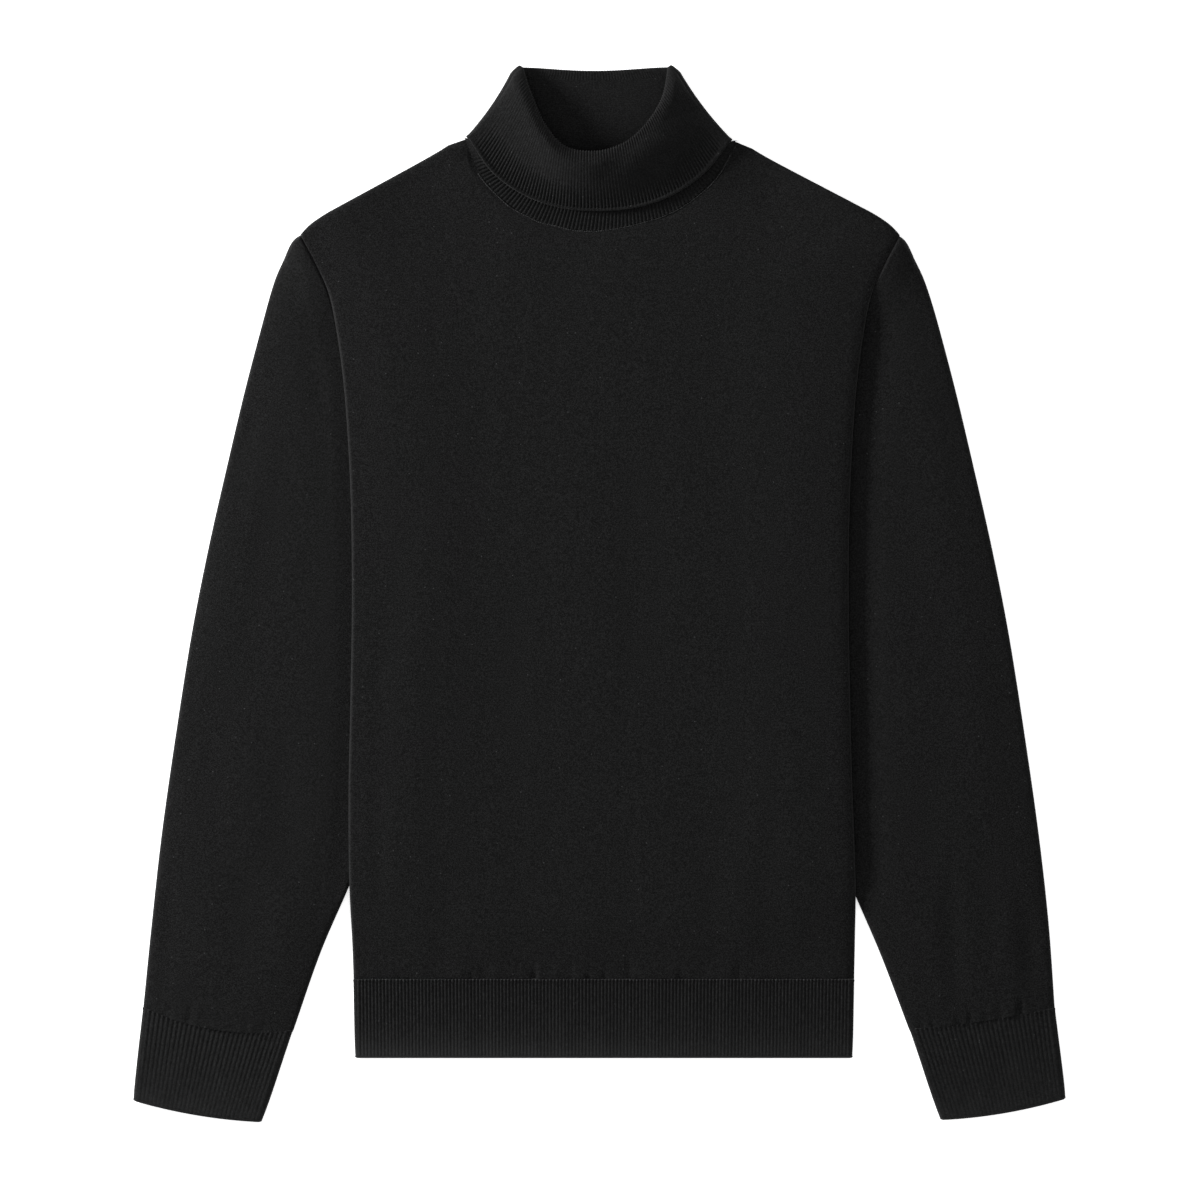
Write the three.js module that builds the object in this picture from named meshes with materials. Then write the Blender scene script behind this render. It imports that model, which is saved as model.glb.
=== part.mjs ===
import * as THREE from 'three';

// A fine-knit turtleneck sweater laid out flat, in millimetres. It lies on z = 0 with +Z up,
// the collar towards +Y and the wearer's left sleeve towards +X.

// Cloth
const jerseyWall = 1.6;
const ribWall = 2.0;
const ribDepth = 0.6;
const seamGap = 0.3;
const neckGap = 0.5;

// Heights of the laid layers
const sleeveHeight = 5.7;
const cuffHeight = 6.1;
const hemHeight = 4.8;
const bodyAir = 1.0;
const bodyLoft = 1.9;
const bodyRoll = 4.2;
const backInset = 3.0;

// Body panels
const shoulder = { x: 223, y: 265, slope: 0.531, rounding: 4, roundedFrom: 200 };
const neckPoint = { x: 100.2, y: 338 };
const hemTopY = -287.9;
const hemBottomY = -346;
const hemLean = 3.4;
const leanFromY = -120;
const forkY = -219.4;
const forkRamp = 32;
const liftEnds = 26;
const edgeBand = 110;
const bandSteps = 4;
const rollShoulder = 15;
const loftReach = { hem: 50, shoulder: 45 };

// Half-width of the body from the armholes down to the hem
const bodyEdge = [
  { y: 265, half: 223 },
  { y: 249, half: 214.5 },
  { y: 224, half: 202.6 },
  { y: 195, half: 196.3 },
  { y: 160, half: 191.5 },
  { y: 120, half: 188.2 },
  { y: 64, half: 185.6 },
  { y: -5, half: 184.9 },
  { y: -80, half: 186 },
  { y: -150, half: 187.3 },
  { y: -219, half: 187.9 },
  { y: -258, half: 186.6 },
  { y: -288, half: 185.7 },
  { y: -346, half: 184.8 },
];

// Heights down the body's side at which its panels have a row of points
const panelRows = [265, 252, 236, 212, 180, 136, 64, -30, -120, -190, -222, -238, -256, hemTopY];

// Sleeve sections from the armhole to the cuff. The outer end is on the arm's outline and the
// inner one lies under the body as far as the fork. The bow bends a section to the collar.
const sleeveSections = [
  { outerX: 216, outerY: 270.5, innerX: 168, innerY: 92, bow: 15 },
  { outerX: 228.5, outerY: 263, innerX: 167, innerY: 80, bow: 13 },
  { outerX: 236, outerY: 248, innerX: 166, innerY: 68, bow: 11 },
  { outerX: 243.5, outerY: 230, innerX: 165.5, innerY: 54, bow: 9 },
  { outerX: 253, outerY: 196, innerX: 165, innerY: 30, bow: 6 },
  { outerX: 265, outerY: 150, innerX: 165, innerY: -4, bow: 3 },
  { outerX: 278, outerY: 95, innerX: 165.5, innerY: -46, bow: 1 },
  { outerX: 292, outerY: 33, innerX: 166, innerY: -92, bow: 0 },
  { outerX: 304.5, outerY: -31, innerX: 167, innerY: -137, bow: 0 },
  { outerX: 316, outerY: -104, innerX: 170, innerY: -177, bow: 0 },
  { outerX: 326.5, outerY: -178, innerX: 188.5, innerY: -221.5, bow: -1 },
  { outerX: 334, outerY: -245, innerX: 208.5, innerY: -268, bow: -2 },
];
const cuffTop = { outerX: 338.6, outerY: -309, innerX: 230.2, innerY: -325 };
const cuffBottom = { outerX: 346.2, outerY: -376.2, innerX: 253.3, innerY: -392.2, bow: -3 };
const cuffLip = 1.5;
const cuffGap = 0.5;
const cuffTopBow = { left: -1.5, right: -8 };

// Collar sections across the front, from the wearer's right side to the left. The seam joins the
// body, the edge is the turned-down flap's and the fold is the mouth's.
const collarSections = [
  { seamX: -103.5, seamY: 337.5, edgeX: -99.5, edgeY: 341.3, foldX: -61.5, foldY: 393.4 },
  { seamX: -88.5, seamY: 309.5, edgeX: -81.5, edgeY: 314.6, foldX: -51.2, foldY: 370.0 },
  { seamX: -63.8, seamY: 286.6, edgeX: -57.0, edgeY: 297.0, foldX: -41.0, foldY: 349.5 },
  { seamX: -34.2, seamY: 273.8, edgeX: -29.8, edgeY: 287.4, foldX: -25.5, foldY: 333.2 },
  { seamX: -2.5, seamY: 270.4, edgeX: -0.8, edgeY: 285.0, foldX: -3.2, foldY: 329.7 },
  { seamX: 29.2, seamY: 276.0, edgeX: 28.0, edgeY: 287.8, foldX: 18.5, foldY: 336.4 },
  { seamX: 59.5, seamY: 287.2, edgeX: 55.4, edgeY: 297.6, foldX: 35.4, foldY: 351.8 },
  { seamX: 85.0, seamY: 308.3, edgeX: 79.5, edgeY: 314.8, foldX: 47.5, foldY: 371.1 },
  { seamX: 103.5, seamY: 335.6, edgeX: 98.5, edgeY: 338.8, foldX: 56.0, foldY: 394.2 },
];
const collarBackY = { seam: 319, edge: 330, fold: 388.6 };
const collarSide = { height: 10.4, bulge: 2.5, waist: 2.0 };
const collarFront = { edgeHeight: 12, foldHeight: 24, rise: 1.3, arch: 0.8, airArch: 0.6 };
const collarSideTaper = 6;
const collarNest = 0.4;

// Numbers of ribs and of plain steps
const hemRibs = 142;
const cuffRibs = 30;
const collarRibs = 88;
const plainSteps = 20;
const sideSteps = 4;
const rollSteps = 3;

// Depths of the collar's four faces, counted inwards from the flap's outer one
const flapOut = 0;
const flapIn = ribWall;
const standOut = ribWall + collarNest;
const standIn = standOut + ribWall;

// Stations round the collar's wall, in order. The level is 0 at the flap's edge and 1 at the fold,
// the setback is back from there, and the air is what the fold adds between flap and stand.
const collarStations = [
  { level: 0, depth: flapOut + ribDepth, setback: 0, air: 0, ribs: collarRibs },
  { level: 0, depth: flapOut, setback: -1.5, air: 0, ribs: collarRibs },
  { level: 0.36, depth: flapOut, setback: 0, air: 0, ribs: collarRibs },
  { level: 0.72, depth: flapOut, setback: 0, air: 0, ribs: collarRibs },
  { level: 1, depth: flapOut + 0.2, setback: 4.5, air: 0, ribs: collarRibs },
  { level: 1, depth: standIn * 0.2, setback: 1.4, air: 0.8, ribs: 0 },
  { level: 1, depth: standIn * 0.5, setback: 0, air: 2, ribs: 0 },
  { level: 1, depth: standIn * 0.86, setback: 1.4, air: 3.2, ribs: 0 },
  { level: 1, depth: standIn, setback: 4.5, air: 4, ribs: 0 },
  { level: 0.5, depth: standIn, setback: 0, air: 2, ribs: 0 },
  { level: 0, depth: standIn, setback: 0, air: 0, ribs: 0 },
  { level: 'seam', depth: standIn, setback: 0, air: 0, ribs: 0 },
  { level: 'seam', depth: standOut, setback: 0, air: 0, ribs: 0 },
  { level: 0, depth: standOut + 0.3, setback: 1, air: 0, ribs: collarRibs },
  { level: 0.5, depth: standOut, setback: 0, air: 2, ribs: 0 },
  { level: 1, depth: standOut, setback: 5, air: 4, ribs: 0 },
  { level: 1, depth: flapIn, setback: 4, air: 0.4, ribs: 0 },
  { level: 0.5, depth: flapIn, setback: 0, air: 0, ribs: 0 },
  { level: 0, depth: flapIn, setback: 0, air: 0, ribs: 0 },
];

// Black carded wool
const woolColour = 0x1d1d1e;
const ribColour = 0x1f1f20;
const woolRoughness = 0.95;

const { lerp, smoothstep, clamp } = THREE.MathUtils;

// Smooth value of a table's column where its key column has the given value
function readTable(rows, key, column, at) {
  const last = rows.length - 1;
  const rises = rows[last][key] > rows[0][key];
  let i = 0;
  while (i < last - 1 && (rises ? at > rows[i + 1][key] : at < rows[i + 1][key])) i += 1;
  const slopeAt = (k) => {
    const before = rows[Math.max(k - 1, 0)];
    const after = rows[Math.min(k + 1, last)];
    return (after[column] - before[column]) / (after[key] - before[key]);
  };
  const span = rows[i + 1][key] - rows[i][key];
  const t = clamp((at - rows[i][key]) / span, 0, 1);
  const from = rows[i][column];
  const to = rows[i + 1][column];
  const leave = slopeAt(i) * span;
  const arrive = slopeAt(i + 1) * span;
  const bend = t * t * (3 - 2 * t);
  return from + (to - from) * bend + t * (1 - t) * (leave * (1 - t) - arrive * t);
}

// Half-circle of angles from straight up to straight down, without its ends
function turnAngles(steps) {
  const angles = [];
  for (let i = 1; i < steps; i += 1) angles.push(Math.PI / 2 - (Math.PI * i) / steps);
  return angles;
}

// Closed mesh from indexed triangles, turned to face outwards
function solidGeometry(points, triangles) {
  let volume = 0;
  for (const [a, b, c] of triangles) {
    volume += points[a].dot(new THREE.Vector3().crossVectors(points[b], points[c]));
  }
  const facing = volume > 0 ? triangles : triangles.map(([a, b, c]) => [a, c, b]);
  const geometry = new THREE.BufferGeometry();
  geometry.setAttribute('position', new THREE.Float32BufferAttribute(points.flatMap((p) => p.toArray()), 3));
  geometry.setIndex(facing.flat());
  geometry.computeVertexNormals();
  return geometry;
}

// Cloth tube: rings go up the outer face and back down the inner one. A ring is a list of points
// with a phase from 0 to 1 round the tube, and rings may differ in their number of points.
function tubeSolid(rings) {
  const points = [];
  const triangles = [];
  const starts = rings.map((ring) => {
    const start = points.length;
    ring.forEach(({ at }) => points.push(at));
    return start;
  });
  rings.forEach((ring, r) => {
    const next = (r + 1) % rings.length;
    const other = rings[next];
    const here = (i) => starts[r] + (i % ring.length);
    const there = (j) => starts[next] + (j % other.length);
    const phaseOf = (list, i) => (i < list.length ? list[i].phase : 1);
    let i = 0;
    let j = 0;
    while (i < ring.length || j < other.length) {
      const stepHere = j === other.length
        || (i < ring.length && phaseOf(ring, i + 1) <= phaseOf(other, j + 1));
      if (stepHere) {
        triangles.push([here(i), here(i + 1), there(j)]);
        i += 1;
      } else {
        triangles.push([here(i), there(j + 1), there(j)]);
        j += 1;
      }
    }
  });
  return solidGeometry(points, triangles);
}

// Ring from its four stretches: over the top, round one side, back underneath, up the other side
function ringOf(top, farSide, under, nearSide) {
  const stretches = [
    { points: top, from: 0, to: 0.45 },
    { points: farSide, from: 0.46, to: 0.49 },
    { points: under, from: 0.5, to: 0.95 },
    { points: nearSide, from: 0.96, to: 0.99 },
  ];
  return stretches.flatMap(({ points, from, to }) => points.map((at, i) => (
    { at, phase: lerp(from, to, points.length > 1 ? i / (points.length - 1) : 0) }
  )));
}

// Ring of a tube that lies flat between two ends in the plane, at a depth below its outer face
function flatRing({ start, end, bow, height, depth, ribs, side }) {
  const along = new THREE.Vector2().subVectors(end, start);
  const width = along.length();
  along.normalize();
  const across = new THREE.Vector2(along.y, -along.x);
  const round = height / 2;
  const place = (from, z) => {
    const bend = bow * 4 * (from / width) * (1 - from / width);
    const x = start.x + along.x * from + across.x * bend;
    const y = start.y + along.y * from + across.y * bend;
    return new THREE.Vector3(x * side, y, z);
  };
  const topSteps = ribs > 0 ? 2 * ribs : plainSteps / 2;
  const underSteps = plainSteps / 2;
  const top = [];
  for (let i = 0; i <= topSteps; i += 1) {
    const valley = ribs > 0 && i % 2 === 1 ? ribDepth : 0;
    top.push(place(lerp(round, width - round, i / topSteps), height - depth - valley));
  }
  const under = [];
  for (let i = 0; i <= underSteps; i += 1) {
    under.push(place(lerp(width - round, round, i / underSteps), depth));
  }
  const turn = round - depth;
  const angles = turnAngles(depth > 0 ? sideSteps / 2 : sideSteps);
  const farSide = angles.map((a) => (
    place(width - round + turn * Math.cos(a), round + turn * Math.sin(a))
  ));
  const nearSide = [...angles].reverse().map((a) => (
    place(round - turn * Math.cos(a), round + turn * Math.sin(a))
  ));
  return ringOf(top, farSide, under, nearSide);
}

// Flat tube of cloth through a list of sections
function flatTube(sections, { height, wall, ribs, side }) {
  const ringAt = (section, depth, ribCount) => flatRing({
    start: new THREE.Vector2(section.outerX, section.outerY),
    end: new THREE.Vector2(section.innerX, section.innerY),
    bow: section.bow,
    height,
    depth,
    ribs: ribCount,
    side,
  });
  const outer = sections.map((section) => ringAt(section, section.lip || 0, ribs));
  const innerSections = ribs > 0 ? [sections[0], sections[sections.length - 1]] : sections;
  const inner = innerSections.map((section) => ringAt(section, wall, 0)).reverse();
  return tubeSolid([...outer, ...inner]);
}

// Section part of the way from one section to another
function sectionBetween(a, b, part) {
  const section = {};
  for (const name of ['outerX', 'outerY', 'innerX', 'innerY', 'bow']) {
    section[name] = lerp(a[name], b[name], part);
  }
  return section;
}

function bodyHalfWidth(y) {
  return readTable(bodyEdge, 'y', 'half', Math.min(y, shoulder.y));
}

function bodyLean(y) {
  return hemLean * (1 - smoothstep(y, hemTopY, leanFromY));
}

// Height of the shoulder line above a place across the body
function shoulderY(x) {
  const out = Math.abs(x);
  const past = Math.max(out - shoulder.roundedFrom, 0) / (shoulder.x - shoulder.roundedFrom);
  return neckPoint.y - shoulder.slope * (out - neckPoint.x) - shoulder.rounding * past * past;
}

// How far the sleeve underneath lifts the body, near its edges and above the fork
function bodyLift(fromEdge, y) {
  const overSleeve = 1 - smoothstep(fromEdge, liftEnds, edgeBand);
  const aboveFork = smoothstep(y, forkY - forkRamp, forkY - seamGap * 10);
  return (sleeveHeight + seamGap) * overSleeve * aboveFork;
}

// Height of the front panel's outer face
function frontTop(fromEdge, x, y) {
  const inFromEdge = smoothstep(fromEdge, bodyRoll, edgeBand);
  const aboveHem = smoothstep(y, hemTopY, hemTopY + loftReach.hem);
  const belowShoulder = smoothstep(shoulderY(x) - y, 0, loftReach.shoulder);
  const loft = bodyLoft * inFromEdge * aboveHem * belowShoulder;
  return bodyLift(fromEdge, y) + 2 * jerseyWall + bodyAir + loft;
}

function collarAt(name, t) {
  const sections = collarSections.map((row, i) => ({ ...row, t: i / (collarSections.length - 1) }));
  return new THREE.Vector2(
    readTable(sections, 't', `${name}X`, t),
    readTable(sections, 't', `${name}Y`, t),
  );
}

// Back half of the same three lines, between the ends of the front one
function collarBackAt(name, t) {
  const right = collarAt(name, 0);
  const left = collarAt(name, 1);
  const sag = collarBackY[name] - (right.y + left.y) / 2;
  const y = lerp(right.y, left.y, t) + sag * Math.sin(Math.PI * t);
  return new THREE.Vector2(lerp(right.x, left.x, t), y);
}

// Columns of points across a panel: at fixed distances from its edges, then spread between
function panelColumns(edgeColumns, neckLine, neckSteps) {
  const inner = shoulder.x - edgeBand;
  const middle = [];
  for (let i = 0; i <= neckSteps; i += 1) {
    const neck = neckLine(i / neckSteps);
    neck.add(new THREE.Vector2(neck.x, (neck.y - neckPoint.y) * 6).setLength(neckGap));
    middle.push({ spread: neck.x / inner, topY: neck.y, atNeck: true });
  }
  const edge = (side) => edgeColumns.map((column) => (
    { ...column, side, topY: shoulderY(shoulder.x - column.fromEdge) }
  ));
  return [...edge(-1), ...middle, ...edge(1).reverse()];
}

// Columns over the stretch beside an edge where the panels come down from the sleeve
function bandColumns() {
  const columns = [];
  for (let i = 0; i <= bandSteps; i += 1) {
    columns.push({ fromEdge: lerp(liftEnds, edgeBand, i / bandSteps) });
  }
  return columns;
}

// Place of a panel's point in the plane, and its distance from the panel's edge
function panelPlace(column, rowPart) {
  const y = lerp(column.topY, hemTopY, rowPart);
  const half = bodyHalfWidth(y);
  if (column.side) {
    return { x: column.side * (half - column.fromEdge) + bodyLean(y), y, fromEdge: column.fromEdge };
  }
  const inner = half - edgeBand;
  return {
    x: column.spread * inner + bodyLean(y),
    y,
    fromEdge: edgeBand + (1 - Math.abs(column.spread)) * inner,
  };
}

// Thin panel between an upper and a lower grid of points with the same rows and columns
function panelSolid(upper, lower) {
  const rowCount = upper.length;
  const columnCount = upper[0].length;
  const points = [...upper.flat(), ...lower.flat()];
  const upperAt = (r, c) => r * columnCount + c;
  const lowerAt = (r, c) => rowCount * columnCount + r * columnCount + c;
  const triangles = [];
  const quad = (a, b, c, d) => triangles.push([a, b, c], [a, c, d]);
  for (let r = 0; r < rowCount - 1; r += 1) {
    for (let c = 0; c < columnCount - 1; c += 1) {
      quad(upperAt(r, c), upperAt(r, c + 1), upperAt(r + 1, c + 1), upperAt(r + 1, c));
      quad(lowerAt(r, c), lowerAt(r + 1, c), lowerAt(r + 1, c + 1), lowerAt(r, c + 1));
    }
    const end = columnCount - 1;
    quad(upperAt(r, 0), upperAt(r + 1, 0), lowerAt(r + 1, 0), lowerAt(r, 0));
    quad(upperAt(r + 1, end), upperAt(r, end), lowerAt(r, end), lowerAt(r + 1, end));
  }
  const bottom = rowCount - 1;
  for (let c = 0; c < columnCount - 1; c += 1) {
    quad(upperAt(0, c + 1), upperAt(0, c), lowerAt(0, c), lowerAt(0, c + 1));
    quad(upperAt(bottom, c), upperAt(bottom, c + 1), lowerAt(bottom, c + 1), lowerAt(bottom, c));
  }
  return solidGeometry(points, triangles);
}

function panelRowParts() {
  return panelRows.map((y) => (panelRows[0] - y) / (panelRows[0] - hemTopY));
}

// The front panel, whose sides roll down over the sleeves and the back
function frontPanel() {
  const edgeColumns = [];
  for (let i = 0; i <= rollSteps; i += 1) {
    const angle = (i / rollSteps) * (Math.PI / 2);
    edgeColumns.push({ angle, fromEdge: bodyRoll * (1 - Math.cos(angle)) });
  }
  edgeColumns.push({ fromEdge: rollShoulder }, ...bandColumns());
  const columns = panelColumns(edgeColumns, (t) => collarAt('seam', t), plainSteps);
  const gridAt = (isOuter) => panelRowParts().map((part, row) => columns.map((column) => {
    const place = panelPlace(column, part);
    const isShoulder = row === 0 && !column.atNeck && column.angle === undefined;
    const shoulderDrop = isShoulder ? bodyAir - seamGap : 0;
    const top = frontTop(Math.max(place.fromEdge, bodyRoll), place.x, place.y) - shoulderDrop;
    if (column.angle === undefined) {
      return new THREE.Vector3(place.x, place.y, isOuter ? top : top - jerseyWall);
    }
    const turn = isOuter ? bodyRoll : bodyRoll - jerseyWall;
    const inward = bodyRoll - turn * Math.cos(column.angle);
    const x = column.side * (bodyHalfWidth(place.y) - inward) + bodyLean(place.y);
    return new THREE.Vector3(x, place.y, top - bodyRoll + turn * Math.sin(column.angle));
  }));
  return panelSolid(gridAt(true), gridAt(false));
}

// The back panel, flat on the table but where it climbs over the sleeves
function backPanel() {
  const edgeColumns = [
    { fromEdge: backInset },
    ...bandColumns(),
  ];
  const columns = panelColumns(edgeColumns, (t) => collarBackAt('seam', t), plainSteps / 2);
  const gridAt = (raise) => panelRowParts().map((part) => columns.map((column) => {
    const place = panelPlace(column, part);
    return new THREE.Vector3(place.x, place.y, bodyLift(place.fromEdge, place.y) + raise);
  }));
  return panelSolid(gridAt(jerseyWall), gridAt(0));
}

// Sections of a whole sleeve, ending a seam's gap short of the cuff
function sleeveGeometry(name, side) {
  const top = { ...cuffTop, bow: cuffTopBow[name] };
  const before = sleeveSections[sleeveSections.length - 1];
  const run = before.outerY - top.outerY;
  const last = sectionBetween(top, before, cuffGap / run);
  return flatTube([...sleeveSections, last], {
    height: sleeveHeight, wall: jerseyWall, ribs: 0, side,
  });
}

// Cuff with its ribs along the arm and a rounded lip
function cuffGeometry(name, side) {
  const top = { ...cuffTop, bow: cuffTopBow[name] };
  const length = top.outerY - cuffBottom.outerY;
  const sections = [
    top,
    sectionBetween(top, cuffBottom, 0.5),
    sectionBetween(cuffBottom, top, cuffLip / length),
    { ...cuffBottom, lip: ribDepth },
  ];
  return flatTube(sections, { height: cuffHeight, wall: ribWall, ribs: cuffRibs, side });
}

// Ribbed band at the bottom of the body
function hemGeometry() {
  const sectionAt = (y, lip = 0) => ({
    outerX: bodyLean(y) - bodyHalfWidth(y),
    outerY: y,
    innerX: bodyLean(y) + bodyHalfWidth(y),
    innerY: y,
    bow: 0,
    lip,
  });
  const sections = [
    sectionAt(hemTopY - seamGap),
    sectionAt(hemBottomY + cuffLip),
    sectionAt(hemBottomY, ribDepth),
  ];
  return flatTube(sections, { height: hemHeight, wall: ribWall, ribs: hemRibs, side: 1 });
}

// Direction in the plane straight out from the collar's right or left side
function collarOutward(level, t) {
  const isRight = t < 0.5;
  if (level === 'seam') return new THREE.Vector2(isRight ? -1 : 1, 0);
  const up = collarAt('fold', t).sub(collarAt('edge', t)).normalize();
  return isRight ? new THREE.Vector2(-up.y, up.x) : new THREE.Vector2(up.y, -up.x);
}

// Ring round the collar at one station of its wall
function collarRing({ level, depth, setback, air, ribs }) {
  const isSeam = level === 'seam';
  const outward = { right: collarOutward(level, 0), left: collarOutward(level, 1) };
  const waist = isSeam ? 0 : collarSide.waist * 4 * level * (1 - level);
  const sideInset = collarSide.bulge + waist + (isSeam ? depth - standOut : depth);
  const planAt = (lineAt, t) => {
    const plan = lineAt(isSeam ? 'seam' : 'edge', t);
    if (!isSeam) {
      const fold = lineAt('fold', t);
      plan.lerp(fold, level - setback / plan.distanceTo(fold));
    }
    plan.addScaledVector(outward.right, -sideInset * (1 - t) ** collarSideTaper);
    return plan.addScaledVector(outward.left, -sideInset * t ** collarSideTaper);
  };
  const frontHeight = (plan, t) => {
    if (isSeam) {
      return frontTop(edgeBand, plan.x, plan.y) + (ribWall - jerseyWall) / 2 - (depth - standOut);
    }
    const rise = Math.sin(Math.PI * t) ** collarFront.arch;
    const middle = lerp(collarFront.edgeHeight, collarFront.foldHeight, level ** collarFront.rise);
    return lerp(collarSide.height, middle, rise) - depth - air * rise ** collarFront.airArch;
  };
  const frontSteps = ribs > 0 ? 2 * ribs : plainSteps;
  const front = [];
  for (let i = 0; i <= frontSteps; i += 1) {
    const t = i / frontSteps;
    const plan = planAt(collarAt, t);
    const valley = ribs > 0 && i % 2 === 1 ? ribDepth : 0;
    front.push(new THREE.Vector3(plan.x, plan.y, frontHeight(plan, t) - valley));
  }
  const backSteps = plainSteps / 2;
  const back = [];
  for (let i = backSteps; i >= 0; i -= 1) {
    const plan = planAt(collarBackAt, i / backSteps);
    back.push(new THREE.Vector3(plan.x, plan.y, isSeam ? depth - standOut : depth));
  }
  const roundSide = (upper, lower, direction) => turnAngles(sideSteps).map((angle) => {
    const out = direction.clone().multiplyScalar(collarSide.bulge * Math.cos(angle));
    const up = ((upper.z - lower.z) / 2) * Math.sin(angle);
    const middle = new THREE.Vector3().addVectors(upper, lower).multiplyScalar(0.5);
    return middle.add(new THREE.Vector3(out.x, out.y, up));
  });
  const farSide = roundSide(front[frontSteps], back[0], outward.left);
  const nearSide = roundSide(front[0], back[backSteps], outward.right).reverse();
  return ringOf(front, farSide, back, nearSide);
}

// Collar: a ribbed stand from the neckline up to the fold, and the flap turned down over it
function collarGeometry() {
  return tubeSolid(collarStations.map(collarRing));
}

function clothMesh(name, geometry, colour) {
  const material = new THREE.MeshStandardMaterial({
    color: colour, roughness: woolRoughness, metalness: 0, side: THREE.DoubleSide,
  });
  const mesh = new THREE.Mesh(geometry, material);
  mesh.name = name;
  return mesh;
}

const sweater = new THREE.Group();
sweater.add(clothMesh('back', backPanel(), woolColour));
sweater.add(clothMesh('front', frontPanel(), woolColour));
for (const [name, side] of [['right', -1], ['left', 1]]) {
  sweater.add(clothMesh(`${name}_sleeve`, sleeveGeometry(name, side), woolColour));
  sweater.add(clothMesh(`${name}_cuff`, cuffGeometry(name, side), ribColour));
}
sweater.add(clothMesh('hem', hemGeometry(), ribColour));
sweater.add(clothMesh('collar', collarGeometry(), ribColour));

export default sweater;
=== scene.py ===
import math

import bmesh
import bpy
import numpy as np
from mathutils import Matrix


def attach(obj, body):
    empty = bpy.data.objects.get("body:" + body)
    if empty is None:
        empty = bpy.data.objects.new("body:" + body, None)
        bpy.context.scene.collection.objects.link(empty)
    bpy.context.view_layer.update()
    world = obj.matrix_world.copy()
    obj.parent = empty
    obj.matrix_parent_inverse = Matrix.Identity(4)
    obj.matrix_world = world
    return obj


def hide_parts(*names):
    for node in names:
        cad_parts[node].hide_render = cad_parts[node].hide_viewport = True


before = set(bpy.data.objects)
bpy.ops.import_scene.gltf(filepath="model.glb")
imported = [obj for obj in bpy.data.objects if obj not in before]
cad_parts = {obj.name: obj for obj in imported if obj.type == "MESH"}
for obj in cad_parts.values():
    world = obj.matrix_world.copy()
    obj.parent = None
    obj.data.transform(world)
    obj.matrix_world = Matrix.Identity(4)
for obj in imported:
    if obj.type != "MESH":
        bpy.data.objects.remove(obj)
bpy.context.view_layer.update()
print("frame loaded:", len(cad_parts), "nodes")

mm = 0.001  # sizes below are in millimetres, and every mesh is made in metres
tau = 2 * math.pi
join, norm = np.concatenate, np.linalg.norm

# how thick the cloth and its layers are
layers = {
    "jerseyWall": 1.6,
    "ribWall": 2.0,
    "sleeve": 5.7,  # two walls and the air between them, as for cuff and hem
    "cuff": 6.1,
    "hem": 4.8,
    "air": 1.0,  # between front and back
    "loft": 1.9,  # what the middle of the front stands up by
    "roll": 4.2,  # radius of the body's rolled sides
    "seamGap": 0.3,
}
foldShape = {
    "fade": 1.3,  # how slowly a trough starts and ends
    "endWidth": 0.7,
    "midWidth": 0.5,  # what the middle adds to that
    "bank": 0.22,  # height of the banks beside it, for each millimetre of depth
    "bankAt": 1.9,  # where they stand, in widths
    "bankWidth": 1.1,
}
sharpBend = math.radians(70)


def ease(x, low, high):
    t = np.clip((x - low) / (high - low), 0, 1)
    return t * t * (3 - 2 * t)


def blend(a, b, part):
    return a + (b - a) * part


def pairUp(across, along):  # one pair of numbers for each point of a grid
    return np.stack(np.broadcast_arrays(across, along), 2)


def readTable(rows, column, at):  # smooth value of a column where the first one is at
    table = np.array(rows, float)
    if table[0, 0] > table[-1, 0]:
        table = table[::-1]
    keys, values = table[:, 0], table[:, column]
    count = np.arange(len(keys))
    before, after = np.maximum(count - 1, 0), np.minimum(count + 1, len(keys) - 1)
    slopes = (values[after] - values[before]) / (keys[after] - keys[before])
    at = np.asarray(at, float)
    i = np.clip(np.searchsorted(keys, at) - 1, 0, len(keys) - 2)
    span = keys[i + 1] - keys[i]
    t = np.clip((at - keys[i]) / span, 0, 1)
    bend = t * t * (3 - 2 * t)
    leave, arrive = slopes[i] * span, slopes[i + 1] * span
    return values[i] + (values[i + 1] - values[i]) * bend + t * (1 - t) * (leave * (1 - t) - arrive * t)


def ripple(x, y, size, seed):  # seeded unevenness, about -1 to 1, with swells of that size
    count = 9
    dice = np.random.default_rng(seed)
    total = np.zeros(np.broadcast(x, y).shape)
    for _ in range(count):
        turn, start = dice.uniform(0, tau, 2)
        rate = tau / size * dice.uniform(0.6, 1.5)
        total += np.sin(rate * (x * math.cos(turn) + y * math.sin(turn)) + start)
    return total / math.sqrt(count)


def addSwells(height, swells, x, y, side=0):  # rows of height, stretch along y, size, seed
    for lift, stretch, size, seed in swells:
        height = height + lift * ripple(x, y * stretch, size, seed + side)
    return height


def foldHeight(folds, x, y):  # soft troughs with low banks, each from one point to another
    height = np.zeros(np.broadcast(x, y).shape)
    for x0, y0, x1, y1, bow, width, depth in folds:
        dx, dy = x1 - x0, y1 - y0
        length = math.hypot(dx, dy)
        along = ((x - x0) * dx + (y - y0) * dy) / length ** 2
        fade = np.sin(math.pi * np.clip(along, 0, 1)) ** foldShape["fade"]
        off = ((x - x0) * dy - (y - y0) * dx) / length - bow * fade
        across = off / (width * (foldShape["endWidth"] + foldShape["midWidth"] * fade))
        bank = np.exp(-((np.abs(across) - foldShape["bankAt"]) / foldShape["bankWidth"]) ** 2)
        height -= depth * fade * (np.exp(-across ** 2) - foldShape["bank"] * bank)
    return height


def surfaceNormals(points):  # of a grid that closes on itself both ways
    along = np.roll(points, -1, 1) - np.roll(points, 1, 1)
    down = np.roll(points, -1, 0) - np.roll(points, 1, 0)
    normals = np.cross(along, down)
    return normals / np.maximum(norm(normals, axis=2, keepdims=True), 1e-9)


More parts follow.
